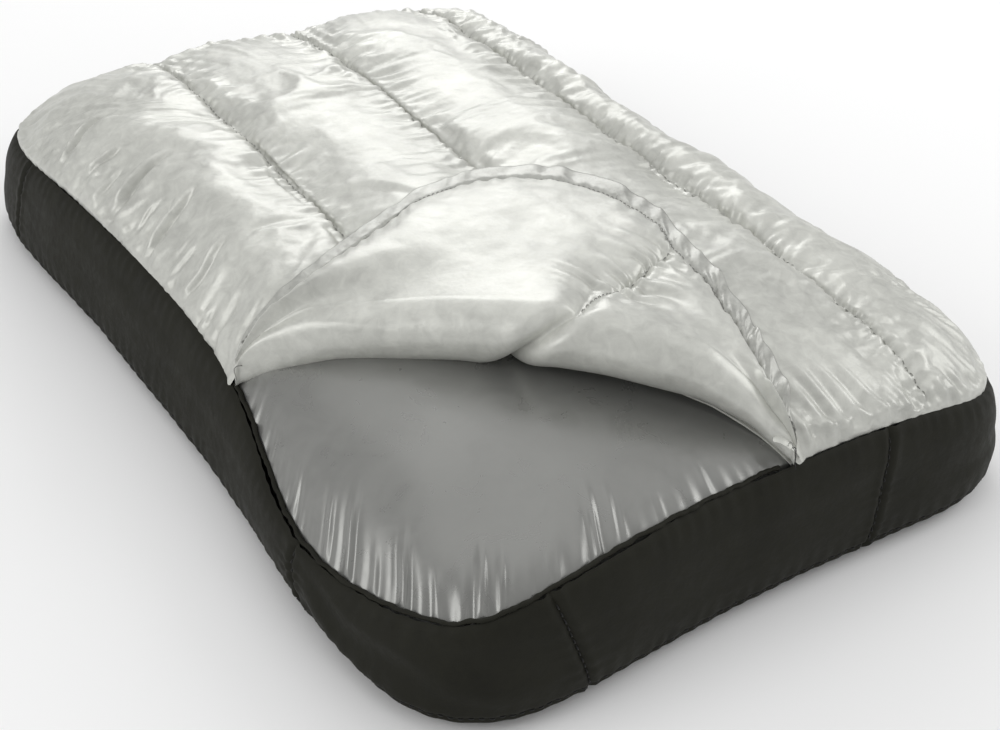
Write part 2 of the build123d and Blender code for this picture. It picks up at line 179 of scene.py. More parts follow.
def noise(x, y, z=0.0):
    x, y, z = np.broadcast_arrays(np.asarray(x, float), np.asarray(y, float), np.asarray(z, float))
    xi, yi, zi = np.floor(x).astype(int), np.floor(y).astype(int), np.floor(z).astype(int)
    fx, fy, fz = x - xi, y - yi, z - zi
    fx, fy, fz = fx * fx * (3 - 2 * fx), fy * fy * (3 - 2 * fy), fz * fz * (3 - 2 * fz)
    g = lambda a, b, c: _G[(xi + a) % 64, (yi + b) % 64, (zi + c) % 64]
    c00, c10 = lerp(g(0, 0, 0), g(1, 0, 0), fx), lerp(g(0, 1, 0), g(1, 1, 0), fx)
    c01, c11 = lerp(g(0, 0, 1), g(1, 0, 1), fx), lerp(g(0, 1, 1), g(1, 1, 1), fx)
    return lerp(lerp(c00, c10, fy), lerp(c01, c11, fy), fz) * 2 - 1


def puff01(x, y):
    """0 on a quilting seam or the rim, 1 at the middle of a channel, and the signed distance to the nearest seam."""
    u, v = uv(x, y)
    lo = -side_half(v, -np.ones_like(v))
    hi = side_half(v, np.ones_like(v))
    edges = [lo] + [seam_x(j, y) for j in range(3)] + [hi]
    p = np.zeros_like(u)
    dist = np.full_like(u, 99.0)
    for a, b in zip(edges, edges[1:]):
        m = (x >= a) & (x <= b)
        t = np.clip((x - a) / (b - a), 0, 1)
        p = np.where(m, np.sin(np.pi * t) ** 0.72, p)
    for j in range(3):
        dd = x - seam_x(j, y)
        dist = np.where(np.abs(dd) < np.abs(dist), dd, dist)
    return p, dist


def zq(x, y, h=30.0, puff=10.5):
    """Mean outer surface of the quilt, channels included."""
    r = np.minimum(rho(x, y), 1.0)
    p, dist = puff01(x, y)
    dome = h * np.clip(1 - r ** 5.2, 0, 1) ** 0.56
    ends = np.clip(1 - r ** 9, 0, 1) ** 0.5
    return rim_z(x, y) + dome + puff * (p - 0.74) * ends


def z_bladder(x, y):
    r = np.minimum(rho(x, y), 1.0)
    return rim_z(x, y) - 1.5 + 19.5 * np.clip(1 - r ** 3.6, 0, 1) ** 0.72


# ---------------------------------------------------------------- mesh helpers
def grid_mesh(name, pts, wrap=False, keep=None):
    """pts is rows x columns x 3, in mm."""
    R, C = pts.shape[:2]
    v = pts.reshape(-1, 3) * MM
    cols = C if wrap else C - 1
    r, c = np.meshgrid(np.arange(R - 1), np.arange(cols), indexing="ij")
    c2 = (c + 1) % C
    f = np.stack([r * C + c, r * C + c2, (r + 1) * C + c2, (r + 1) * C + c], -1).reshape(-1, 4)
    if keep is not None:
        f = f[keep.reshape(-1)]
    used = np.zeros(len(v), bool)
    used[f.reshape(-1)] = True
    idx = np.cumsum(used) - 1
    return mesh_from(name, v[used], idx[f]), used


def mesh_from(name, v, f):
    me = bpy.data.meshes.new(name)
    me.vertices.add(len(v))
    me.vertices.foreach_set("co", np.asarray(v, np.float32).reshape(-1))
    k = f.shape[1]
    me.loops.add(len(f) * k)
    me.loops.foreach_set("vertex_index", f.reshape(-1).astype(np.int32))
    me.polygons.add(len(f))
    me.polygons.foreach_set("loop_start", (np.arange(len(f)) * k).astype(np.int32))
    me.polygons.foreach_set("use_smooth", np.ones(len(f), bool))
    me.update(calc_edges=True)
    me.validate()
    ob = bpy.data.objects.new(name, me)
    bpy.context.scene.collection.objects.link(ob)
    return ob


def coords(ob):
    a = np.zeros(len(ob.data.vertices) * 3, np.float32)
    ob.data.vertices.foreach_get("co", a)
    return a.reshape(-1, 3).astype(float)


def set_coords(ob, a):
    ob.data.vertices.foreach_set("co", np.asarray(a, np.float32).reshape(-1))
    ob.data.update()


def normals(ob):
    a = np.zeros(len(ob.data.vertices) * 3, np.float32)
    ob.data.vertices.foreach_get("normal", a)
    return a.reshape(-1, 3).astype(float)


def flip_if_down(ob, ref):
    """Turns the faces round if the mesh's mean normal opposes ref."""
    n = normals(ob).mean(0)
    if float(np.dot(n, ref)) < 0:
        ob.data.flip_normals()


def shade(ob, mat):
    ob.data.materials.clear()
    ob.data.materials.append(mat)
    return ob


def cloth(ob, pins, frames=18, pressure=2.0, grow=0.05, bend=0.05, stiff=12.0, cap=5.0, damp=8.0):
    """Cloth simulation of an open sheet held at its seams: it grows a little and is blown up, then is kept within cap mm."""
    rest = coords(ob)
    vg = ob.vertex_groups.new(name="pin")
    for w in (1.0,):
        vg.add([int(k) for k in np.nonzero(pins)[0]], w, "ADD")
    m = ob.modifiers.new("Cloth", "CLOTH")
    s = m.settings
    s.quality = 5
    s.mass = 0.12
    s.tension_stiffness = s.compression_stiffness = stiff
    s.shear_stiffness = stiff * 0.5
    s.bending_stiffness = bend
    s.tension_damping = s.compression_damping = damp
    s.bending_damping = 0.5
    s.air_damping = 2.0
    s.vertex_group_mass = "pin"
    s.shrink_min = -grow
    s.shrink_max = -grow
    s.use_pressure = True
    s.uniform_pressure_force = pressure
    s.effector_weights.gravity = 0.0
    m.collision_settings.use_collision = False
    m.collision_settings.use_self_collision = False
    m.point_cache.frame_start = 1
    m.point_cache.frame_end = frames + 2
    sc = bpy.context.scene
    others = [o for o in sc.objects if o is not ob and not o.hide_viewport]
    for f in range(1, frames + 1):
        sc.frame_set(f)
    dg = bpy.context.evaluated_depsgraph_get()
    ev = ob.evaluated_get(dg)
    a = np.zeros(len(ob.data.vertices) * 3, np.float32)
    ev.data.vertices.foreach_get("co", a)
    a = a.reshape(-1, 3).astype(float)
    ob.modifiers.remove(m)
    ob.vertex_groups.clear()
    sc.frame_set(1)
    d = a - rest
    d[~np.isfinite(d).all(1)] = 0
    ln = np.linalg.norm(d, axis=1, keepdims=True)
    lim = cap * MM
    d = d * (lim * np.tanh(ln / lim) / np.maximum(ln, 1e-9))
    set_coords(ob, rest + d)
    return ob


def subdivide(ob, levels=1):
    m = ob.modifiers.new("sub", "SUBSURF")
    m.levels = m.render_levels = levels
    m.boundary_smooth = "ALL"
    dg = bpy.context.evaluated_depsgraph_get()
    me = bpy.data.meshes.new_from_object(ob.evaluated_get(dg))
    ob.modifiers.clear()
    old = ob.data
    ob.data = me
    bpy.data.meshes.remove(old)
    me.polygons.foreach_set("use_smooth", np.ones(len(me.polygons), bool))
    return ob


def stitches(name, path, nrm, length=2.3, gap=1.3, r=0.28, lift=0.25, jitter=0.25):
    """Thread stitches along a path (mm), each a small capsule that lies on the cloth."""
    path = np.asarray(path, float); nrm = np.asarray(nrm, float)
    L = np.concatenate([[0], np.cumsum(np.linalg.norm(np.diff(path, axis=0), axis=1))])
    n = int(L[-1] / (length + gap))
    vs, fs = [], []
    sides = 6
    for k in range(n):
        a = k * (length + gap) + gap / 2
        ts = a + length * np.array([0, 0.12, 0.5, 0.88, 1.0])
        ps = np.stack([np.interp(ts, L, path[:, j]) for j in range(3)], -1)
        nn = np.array([np.interp(a + length / 2, L, nrm[:, j]) for j in range(3)])
        nn /= np.linalg.norm(nn) + 1e-9
        d = ps[-1] - ps[0]
        d /= np.linalg.norm(d) + 1e-9
        b = np.cross(nn, d)
        b /= np.linalg.norm(b) + 1e-9
        off = np.array([-0.35, 0.05, 0.3, 0.05, -0.35]) + lift
        rad = r * np.array([0.35, 0.9, 1.0, 0.9, 0.35])
        side = rng.uniform(-jitter, jitter)
        base = len(vs)
        for q, o, rr in zip(ps, off, rad):
            for j in range(sides):
                t = 2 * math.pi * j / sides
                vs.append(q + nn * (o + rr * math.sin(t)) + b * (rr * math.cos(t) + side * 0.3))
        for i in range(4):
            for j in range(sides):
                j2 = (j + 1) % sides
                fs.append([base + i * sides + j, base + i * sides + j2, base + (i + 1) * sides + j2, base + (i + 1) * sides + j])
    return mesh_from(name, np.array(vs) * MM, np.array(fs))


def tube(name, path, r, sides=8, flat=1.0, nrm=None):
    path = np.asarray(path, float)
    t = np.gradient(path, axis=0)
    t /= np.linalg.norm(t, axis=1, keepdims=True)
    up = np.broadcast_to(np.array([0, 0, 1.0]) if nrm is None else nrm, path.shape)
    b = np.cross(t, up)
    b /= np.linalg.norm(b, axis=1, keepdims=True)
    u = np.cross(b, t)
    rr = np.broadcast_to(np.asarray(r, float), (len(path),))
    ring = []
    for j in range(sides):
        a = 2 * math.pi * j / sides
        ring.append(path + b * (math.cos(a) * rr)[:, None] + u * (math.sin(a) * rr * flat)[:, None])
    pts = np.stack(ring, 1)
    ob, _ = grid_mesh(name, pts, wrap=True)
    me = ob.data
    bm = bmesh.new()
    bm.from_mesh(me)
    ends = [e for e in bm.edges if e.is_boundary]
    bmesh.ops.holes_fill(bm, edges=ends, sides=0)
    bmesh.ops.recalc_face_normals(bm, faces=bm.faces)
    bm.to_mesh(me)
    bm.free()
    me.polygons.foreach_set("use_smooth", np.ones(len(me.polygons), bool))
    return ob


# ---------------------------------------------------------------- materials
def new_mat(name):
    m = bpy.data.materials.new(name)
    m.use_nodes = True
    nt = m.node_tree
    return m, nt, nt.nodes["Principled BSDF"]


def add(nt, kind, **kw):
    n = nt.nodes.new(kind)
    for k, v in kw.items():
        if k in n.inputs:
            n.inputs[k].default_value = v
        else:
            setattr(n, k, v)
    return n


def ramp(nt, src, stops):
    r = nt.nodes.new("ShaderNodeValToRGB")
    r.color_ramp.elements.remove(r.color_ramp.elements[1])
    r.color_ramp.elements[0].position = stops[0][0]
    r.color_ramp.elements[0].color = stops[0][1]
    for p, c in stops[1:]:
        e = r.color_ramp.elements.new(p)
        e.color = c
    nt.links.new(src, r.inputs[0])
    return r


def g(v, tint=(1, 1, 1)):
    return (v * tint[0], v * tint[1], v * tint[2], 1)


def weave(nt, coord, pitch):
    """Height of a plain weave from two crossed waves."""
    ws = []
    for ax in ("X", "Y"):
        w = add(nt, "ShaderNodeTexWave", wave_type="BANDS", bands_direction=ax)
        w.inputs["Scale"].default_value = 1 / (pitch * 6.2832) * 3.1416
        w.inputs["Distortion"].default_value = 0.4
        nt.links.new(coord, w.inputs["Vector"])
        ws.append(w)
    mx = add(nt, "ShaderNodeMath", operation="MAXIMUM")
    nt.links.new(ws[0].outputs["Fac"], mx.inputs[0])
    nt.links.new(ws[1].outputs["Fac"], mx.inputs[1])
    return mx.outputs[0]


def cloth_mat(name, dark, light, tint, rough, sheen, mottle, crinkle, crinkle_scale, weave_pitch, weave_h, spec=0.5, metallic=0.0):
    m, nt, b = new_mat(name)
    tc = add(nt, "ShaderNodeTexCoord")
    co = tc.outputs["Object"]
    n1 = add(nt, "ShaderNodeTexNoise", Scale=mottle, Detail=6.0, Roughness=0.62)
    nt.links.new(co, n1.inputs["Vector"])
    n2 = add(nt, "ShaderNodeTexNoise", Scale=mottle * 5.3, Detail=4.0, Roughness=0.6, Distortion=0.8)
    nt.links.new(co, n2.inputs["Vector"])
    mixf = add(nt, "ShaderNodeMath", operation="MULTIPLY_ADD")
    nt.links.new(n2.outputs["Fac"], mixf.inputs[0])
    mixf.inputs[1].default_value = 0.45
    ad = add(nt, "ShaderNodeMath", operation="MULTIPLY")
    nt.links.new(n1.outputs["Fac"], ad.inputs[0])
    ad.inputs[1].default_value = 0.55
    nt.links.new(ad.outputs[0], mixf.inputs[2])
    r = ramp(nt, mixf.outputs[0], [(0.30, g(dark, tint)), (0.5, g((dark + light) / 2, tint)), (0.70, g(light, tint))])
    nt.links.new(r.outputs[0], b.inputs["Base Color"])
    rr = ramp(nt, n2.outputs["Fac"], [(0.3, g(rough - 0.07)), (0.7, g(rough + 0.09))])
    nt.links.new(rr.outputs[0], b.inputs["Roughness"])
    n3 = add(nt, "ShaderNodeTexNoise", Scale=crinkle_scale, Detail=4.0, Roughness=0.5, Distortion=0.15)
    nt.links.new(co, n3.inputs["Vector"])
    bp = add(nt, "ShaderNodeBump")
    bp.inputs["Strength"].default_value = 1.0
    bp.inputs["Distance"].default_value = crinkle
    nt.links.new(n3.outputs["Fac"], bp.inputs["Height"])
    wv = weave(nt, co, weave_pitch)
    bp2 = add(nt, "ShaderNodeBump")
    bp2.inputs["Strength"].default_value = 0.8
    bp2.inputs["Distance"].default_value = weave_h
    nt.links.new(wv, bp2.inputs["Height"])
    nt.links.new(bp.outputs[0], bp2.inputs["Normal"])
    nt.links.new(bp2.outputs[0], b.inputs["Normal"])
    b.inputs["Sheen Weight"].default_value = sheen
    b.inputs["Sheen Roughness"].default_value = 0.4
    b.inputs["Specular IOR Level"].default_value = spec
    b.inputs["Metallic"].default_value = metallic
    return m


WARM = (0.992, 1.0, 0.93)
M_SILVER = cloth_mat("silver_nylon", 0.43, 0.68, WARM, 0.38, 0.0, 30.0, 0.00034, 150.0, 0.0005, 0.000008, 0.5, 0.27)
M_LINING = cloth_mat("lining_nylon", 0.45, 0.69, WARM, 0.37, 0.0, 30.0, 0.00030, 140.0, 0.0005, 0.000008, 0.5, 0.27)
M_HEM = cloth_mat("hem_nylon", 0.30, 0.52, WARM, 0.34, 0.0, 60.0, 0.00034, 150.0, 0.0005, 0.000012, 0.55, 0.3)
M_THREAD_L = cloth_mat("thread_light", 0.26, 0.40, WARM, 0.6, 0.2, 400.0, 0.0001, 2500.0, 0.0003, 0.00002, 0.35)
M_CHAR = cloth_mat("charcoal_nylon", 0.012, 0.020, (1.0, 0.99, 0.72), 0.58, 0.0, 40.0, 0.0003, 220.0, 0.00055, 0.00002, 0.11)
M_FILM = cloth_mat("bladder_film", 0.225, 0.27, (0.995, 1.0, 0.955), 0.31, 0.0, 12.0, 0.00002, 30.0, 0.0012, 0.000001, 0.6, 0.5)
for l_ in list(M_FILM.node_tree.links):
    if l_.to_socket.name == "Normal" and l_.to_node.type == "BSDF_PRINCIPLED":
        M_FILM.node_tree.links.remove(l_)
M_THREAD = cloth_mat("thread_grey", 0.20, 0.32, WARM, 0.6, 0.3, 400.0, 0.0001, 2500.0, 0.0003, 0.00004, 0.35)
M_THREAD_D = cloth_mat("thread_black", 0.008, 0.014, (1, 1, 1), 0.55, 0.1, 400.0, 0.0001, 2500.0, 0.0003, 0.00004, 0.35)
M_VALVE = cloth_mat("valve_plastic", 0.030, 0.040, (1, 1, 1), 0.42, 0.0, 90.0, 0.00003, 1600.0, 0.0007, 0.000004, 0.5)
M_SILI = cloth_mat("valve_silicone", 0.20, 0.24, (1, 1, 1), 0.5, 0.0, 90.0, 0.00003, 1600.0, 0.0007, 0.000004, 0.4)
M_DOWN = cloth_mat("down", 0.72, 0.86, (1.0, 0.98, 0.93), 0.85, 0.4, 90.0, 0.0015, 500.0, 0.0007, 0.0001, 0.2)

for name, ob in frame["nodes"].items():
    if "panel" in name:
        shade(ob, M_CHAR)
    elif name.startswith("bladder"):
        shade(ob, M_FILM)
    elif "fill" in name:
        shade(ob, M_DOWN)
    elif name.startswith(("quilt", "flap", "opening")):
        shade(ob, M_SILVER)
    elif name in ("check_flap", "plug_gasket"):
        shade(ob, M_SILI)
    else:
        shade(ob, M_VALVE)

# ---------------------------------------------------------------- camera, floor and light
cam = bpy.data.cameras.new("camera")
cam_ob = bpy.data.objects.new("camera", cam)
bpy.context.scene.collection.objects.link(cam_ob)
RT = Vector((0.82311456, -0.56577769, 0.04876508))
UP = Vector((0.30058255, 0.50693098, 0.80788063))
FW = Vector((0.48180136, 0.65032038, -0.58732517))
cam_ob.matrix_world = Matrix(((RT.x, UP.x, -FW.x, -0.3462065), (RT.y, UP.y, -FW.y, -0.5079379),
                              (RT.z, UP.z, -FW.z, 0.4214118), (0, 0, 0, 1)))
cam.lens = 54.4
cam.sensor_width = 36.0
cam.clip_start = 0.01
cam.clip_end = 50
bpy.context.scene.camera = cam_ob
bpy.context.scene.view_settings.view_transform = "Standard"

w = bpy.data.worlds.new("studio")
bpy.context.scene.world = w
w.use_nodes = True
w.node_tree.nodes["Background"].inputs["Color"].default_value = (1.0, 1.0, 1.0, 1)
w.node_tree.nodes["Background"].inputs["Strength"].default_value = 0.60


def area(name, loc, target, size, power, col=(1, 1, 1), size_y=None):
    li = bpy.data.lights.new(name, "AREA")
    li.energy = power
    li.color = col
    li.shape = "RECTANGLE"
    li.size = size
    li.size_y = size_y or size
    ob = bpy.data.objects.new(name, li)
    bpy.context.scene.collection.objects.link(ob)
    d = Vector(target) - Vector(loc)
    ob.matrix_world = Matrix.Translation(loc) @ d.to_track_quat("-Z", "Y").to_matrix().to_4x4()
    return ob


area("key", (0.10, 0.35, 1.35), (0, 0, 0.05), 1.5, 3.9)
area("back", (0.75, 1.25, 0.80), (0, 0, 0.05), 0.8, 6.5)
area("fill", (0.2, -1.5, 0.9), (0, 0, 0.05), 1.2, 1.2)
area("left", (-1.3, 0.15, 0.75), (0, 0, 0.06), 0.7, 4.6)
area("right", (1.2, -0.45, 0.85), (0, 0, 0.06), 0.7, 4.6)

floor = mesh_from("floor", np.array([(-6, -6, 0), (6, -6, 0), (6, 6, 0), (-6, 6, 0)], float), np.array([[0, 1, 2, 3]]))
fm, fnt, fb = new_mat("floor")
fn = add(fnt, "ShaderNodeTexNoise", Scale=3.0, Detail=2.0)
fr = ramp(fnt, fn.outputs["Fac"], [(0.3, g(0.90)), (0.7, g(0.93))])
fnt.links.new(fr.outputs[0], fb.inputs["Base Color"])
fb.inputs["Roughness"].default_value = 0.9
shade(floor, fm)
floor.location.z = -0.0004

# ---------------------------------------------------------------- sidewall: eight panels
PANELS = [("side_panel_left", 137, 214), ("corner_panel_front_left", 214, 243), ("side_panel_front", 243, 286),
          ("corner_panel_front_right", 286, 317), ("side_panel_right", 317, 394), ("corner_panel_back_right", 34, 63),
          ("side_panel_back", 63, 106), ("corner_panel_back_left", 106, 137)]
SEAM_ST = [137, 214, 243, 286, 317, 34, 63, 106]
SLANT = {137: 0.5, 214: 2.2, 243: 4.2, 286: -2.6, 317: 1.5, 34: 1.5, 63: -2.6, 106: 2.2}


def wall_disp(i, k, z):
    """Soft folds, seam ditches and puckers of the wall, outwards in mm."""
    i = np.mod(i, 360)
    s = i * 4.03
    d = 0.9 * noise(s / 46, z / 30, 3.1) + 0.35 * noise(s / 17, z / 22, 8.3)
    d += 0.8 * noise(s / 90 + z / 60, z / 9.0, 5.5) * smooth(4, 20, z) * smooth(1.0, 0.6, k)
    fold = np.sin(2 * np.pi * s / 7.5 + 2.4 * noise(s / 13, z / 30, 2.2))
    d += 0.30 * fold * (np.exp(-((1 - k) * 50 / 6.5) ** 2)) * (0.6 + 0.6 * noise(s / 21, 4.4))
    d += 0.26 * np.sin(2 * np.pi * s / 9.0 + 2 * noise(s / 11, 1.7)) * np.exp(-((z - 9) / 7.0) ** 2)
    d -= 1.1 * np.exp(-((z - 7.5) / 1.1) ** 2)
    for st in SEAM_ST:
        c = st + SLANT[st] * (1 - k)
        q = (np.mod(i - c + 180, 360) - 180) * 4.03
        d -= 1.3 * np.exp(-(q / 1.3) ** 2) - 0.55 * np.exp(-((np.abs(q) - 3.2) / 2.0) ** 2)
        d += 0.42 * np.sin(2 * np.pi * z / 6.2 + 3 * noise(st, z / 9, 1.0)) * np.exp(-(q / 9.0) ** 2) * (0.5 + 0.5 * noise(st * 1.7, z / 6))
    near = np.exp(-((np.mod(i - 226 + 180, 360) - 180) / 9.0) ** 2)
    d += 1.3 * near * np.sin(2 * np.pi * (z * 0.9 + s * 0.16) / 17.0 + 1.5 * noise(s / 30, z / 20)) * smooth(0, 12, z) * smooth(1, 0.7, k)
    return d


wall_top = {}
for name, i0, i1 in PANELS:
    cols = int((i1 - i0) / 0.34)
    krow = np.concatenate([np.linspace(0, 0.16, 10)[:-1], np.linspace(0.16, 1.0, 40)])
    ks, fr_ = np.meshgrid(krow, np.linspace(0, 1, cols + 1), indexing="ij")
    s0, s1 = SLANT[i0 % 360], SLANT[i1 % 360]
    i = i0 + (i1 - i0) * fr_ + (1 - ks) * lerp(s0, s1, fr_)
    x, y, z = wall_point(i, ks)
    dd = wall_disp(i, ks, z)
    x, y, z = wall_point(i, ks, dd)
    z = np.maximum(z, 0.5)
    ob, _ = grid_mesh(name + "_cloth", np.stack([x, y, z], -1))
    c = ((i0 + i1) / 2) % 360
    nx, ny = normal_at(c)
    flip_if_down(ob, np.array([float(nx), float(ny), 0]))
    if name == "side_panel_back":
        bm = bmesh.new()
        bm.from_mesh(ob.data)
        kill = []
        for f in bm.faces:
            cc = f.calc_center_median()
            if (cc.x * 1000 - 75) ** 2 + (cc.z * 1000 - 31) ** 2 < 18.6 ** 2:
                kill.append(f)
        bmesh.ops.delete(bm, geom=kill, context="FACES")
        for vtx in bm.verts:
            if any(e.is_boundary for e in vtx.link_edges):
                dx, dz = vtx.co.x * 1000 - 75, vtx.co.z * 1000 - 31
                r = math.hypot(dx, dz)
                if r < 21.5:
                    vtx.co.x, vtx.co.z = (75 + dx / r * 18.6) / 1000, (31 + dz / r * 18.6) / 1000
        bm.to_mesh(ob.data)
        bm.free()
    shade(ob, M_CHAR)
    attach(ob, "cover")
    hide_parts(name)
for st in SEAM_ST:
    k = np.linspace(0.16, 0.98, 60)
    i = st + SLANT[st] * (1 - k)
    z0 = wall_point(i, k)[2]
    x, y, z = wall_point(i, k, wall_disp(i, k, z0))
    nx, ny = normal_at(i)
    ob = stitches("wall_seam_stitch_%d" % st, np.stack([x, y, z], -1), np.stack([nx, ny, 0 * nx], -1), 2.2, 1.2, 0.32, 0.35)
    shade(ob, M_THREAD_D)
    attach(ob, "cover")
i = np.linspace(0, 360, 1500)
k = 7.5 / rim_z(*at(RIM, i))
x, y, z = wall_point(i, k, wall_disp(i, k, np.full_like(i, 7.5)))
nx, ny = normal_at(i)
ob = stitches("base_seam_stitch", np.stack([x, y, z], -1), np.stack([nx, ny, 0 * nx], -1), 2.4, 1.3, 0.3, 0.3)
shade(ob, M_THREAD_D)
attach(ob, "cover")

# ---------------------------------------------------------------- air bladder
st = np.linspace(0, 360, 1001)[:-1]
rr = np.concatenate([[0.02], np.linspace(0.12, 0.72, 12), 1 - (1 - np.linspace(0, 1, 46)[1:]) ** 1.35 * 0.28])
rr = np.clip(rr, 0, 1)
S, RR = np.meshgrid(st, rr)
rx, ry = at(RIM, S)
nx, ny = normal_at(S)
x, y = rx * RR, ry * RR
z = z_bladder(x, y)
edge = np.hypot(rx - x, ry - y)
arc = S * 4.03
open_side = np.exp(-((np.mod(S - 230 + 180, 360) - 180) / 52.0) ** 2)
d = np.zeros_like(z)
# deep pleats where the film gathers round the corner: station, length mm, width mm, depth mm
for c0, ln, wd, dp in [(218.0, 34, 5.0, 2.4), (221.5, 46, 6.0, 3.0), (225.4, 22, 3.6, 1.6), (229.0, 40, 5.0, 3.2), (232.6, 26, 3.8, 2.0), (236.6, 44, 4.6, 3.4),
                       (238.6, 40, 3.4, 2.4), (243.5, 24, 3.6, 1.5), (249.0, 42, 4.4, 2.6), (251.3, 36, 3.4, 2.0), (257.0, 18, 3.0, 1.0), (263.0, 24, 3.2, 0.9),
                       (211.0, 22, 4.4, 1.2), (204.0, 18, 4.0, 0.8)]:
    ln, wd, dp = ln * 0.80, wd * 0.52, dp * 0.62
    q = (np.mod(S - c0 - 0.012 * edge * np.sign(c0 - 235) + 180, 360) - 180) * 4.03
    prof = np.exp(-(q / (wd * (0.55 + 0.5 * edge / ln))) ** 2)
    fall = smooth(ln, ln * 0.25, edge) * smooth(0, 3.0, edge + 1.2)
    d += dp * fall * (prof - 0.55 * np.exp(-((np.abs(q) - wd * 1.25) / (wd * 0.6)) ** 2))
d += 0.9 * np.sin(2 * np.pi * arc / 8.0 + 3.0 * noise(arc / 17, 5.1)) * np.exp(-(edge / 9.0) ** 1.4) * (0.55 + 0.7 * noise(arc / 23, 9.7))
d += 2.3 * noise(x / 62, y / 62, 4.2) * smooth(0, 40, edge) + 0.5 * noise(x / 27, y / 30, 6.6) * smooth(4, 40, edge)
bx, by = from_sd(95.0, -12.0)
d += 2.4 * np.exp(-(((x - bx) * E[0] + (y - by) * E[1]) / 26.0) ** 2) * smooth(8, 60, edge) * smooth(15, -60, sd(x, y)[1])
z = z + d * open_side * 1.0 + d * (1 - open_side) * 0.25
z = np.minimum(z, 76.0)
low = RR >= 0.9999
inset = np.where(low, 2.4, 2.4 * smooth(0.9, 1.0, RR))
x, y = x - nx * inset, y - ny * inset
pts = np.stack([x, y, z], -1)
skirt = pts[-1:] + np.array([0, 0, -5.0])
skirt[..., 2] = pts[-1:, :, 2] - 6.0
pts = np.concatenate([pts, skirt], 0)
bladder, _ = grid_mesh("bladder_top_film", pts, wrap=True)
me = bladder.data
bm = bmesh.new()
bm.from_mesh(me)
bm.verts.ensure_lookup_table()
inner = [e for e in bm.edges if e.is_boundary and (e.verts[0].co.xy.length < 0.02)]
bmesh.ops.holes_fill(bm, edges=inner, sides=0)
bm.to_mesh(me)
bm.free()
me.polygons.foreach_set("use_smooth", np.ones(len(me.polygons), bool))
flip_if_down(bladder, np.array([0, 0, 1.0]))
shade(bladder, M_FILM)
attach(bladder, "cover")
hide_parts("bladder_top")

# ---------------------------------------------------------------- quilt, fixed part
FOLD_S = np.array([-460, 0.0, 14.0, 34.0, 66.0, 112.0, 158.0, 190.0, 210.0, 224.3, 460])
FOLD_DD = np.array([0, 0.0, 6.0, 12.5, 17.0, 18.0, 17.0, 12.5, 6.0, 0.0, 0])


def fold_d(s):
    # smooth version of the fold's bow
    t = np.clip(np.asarray(s) / FLEN, 0, 1)
    return 18.0 * np.clip(1 - (2 * t - 1) ** 4, 0, 1) ** 0.8


FLAP_EDGE = np.array([(-139.5, -50.5), (-133.5, -47.0), (-127.0, -46.0), (-110.0, -44.0), (-76.0, -34.5), (-37.5, -21.0), (-16.0, -16.5), (0.0, -16.0), (16.0, -19.5),
                      (29.0, -28.0), (40.0, -42.0), (46.5, -58.0), (50.0, -74.0), (50.0, -88.5), (42.0, -126.0), (33.0, -157.0), (27.0, -180.0), (20.0, -200.0), (13.0, -214.0)])


def flap_inside(x, y, grow=0.0):
    poly = FLAP_EDGE
    c = np.array([-20.0, -95.0])
    v = poly - c
    poly = c + v * (1 + grow / np.linalg.norm(v, axis=1, keepdims=True))
    ins = np.zeros(np.shape(x), bool)
    for a, b in zip(poly, np.roll(poly, -1, 0)):
        cond = (a[1] > y) != (b[1] > y)
        xi = a[0] + (y - a[1]) * (b[0] - a[0]) / (b[1] - a[1] + 1e-12)
        ins ^= cond & (x < xi)
    return ins


def pq_to_xy(p, q):
    m = np.maximum(np.abs(p), np.abs(q))
    gg = m / np.maximum((np.abs(p) ** RIM_N + np.abs(q) ** RIM_N) ** (1 / RIM_N), 1e-9)
    u, v = p * gg, q * gg
    y = v * RIM_B * (1 - WY * (1 - u * u))
    x = u * side_half(v, u)
    return x, y


def seam_p(j, q):
    """Grid coordinate of seam j at row q."""
    y = q * RIM_B
    v = q
    sx = seam_x(j, y)
    return sx / side_half(v, np.full_like(v, sx if np.isscalar(sx) else 1.0) if False else sx)


NR, NC = 240, (33, 36, 36, 28)
tau = np.linspace(-1, 1, NR)
qrow = np.sign(tau) * (1 - (1 - np.abs(tau)) ** 1.25)
cols = []
for q in qrow:
    qa = np.array([q])
    pe = [-1.0] + [float(seam_p(j, qa)[0]) for j in range(3)] + [1.0]
    row = []
    for ch in range(4):
        t = np.linspace(0, 1, NC[ch] + 1)
        if ch == 0:
            t = t ** 1.3
        if ch == 3:
            t = 1 - (1 - t) ** 1.3
        seg = lerp(pe[ch], pe[ch + 1], t)
        row.extend(seg[:-1] if ch < 3 else seg)
    cols.append(row)
PG = np.array(cols)
QG = np.repeat(qrow[:, None], PG.shape[1], 1)
X, Y = pq_to_xy(PG, QG)
Z = zq(X, Y)
s_, d_ = sd(X, Y)
gap_d = d_ - fold_d(s_)
cellc = (gap_d[:-1, :-1] + gap_d[1:, :-1] + gap_d[:-1, 1:] + gap_d[1:, 1:]) / 4
keep = cellc > 0
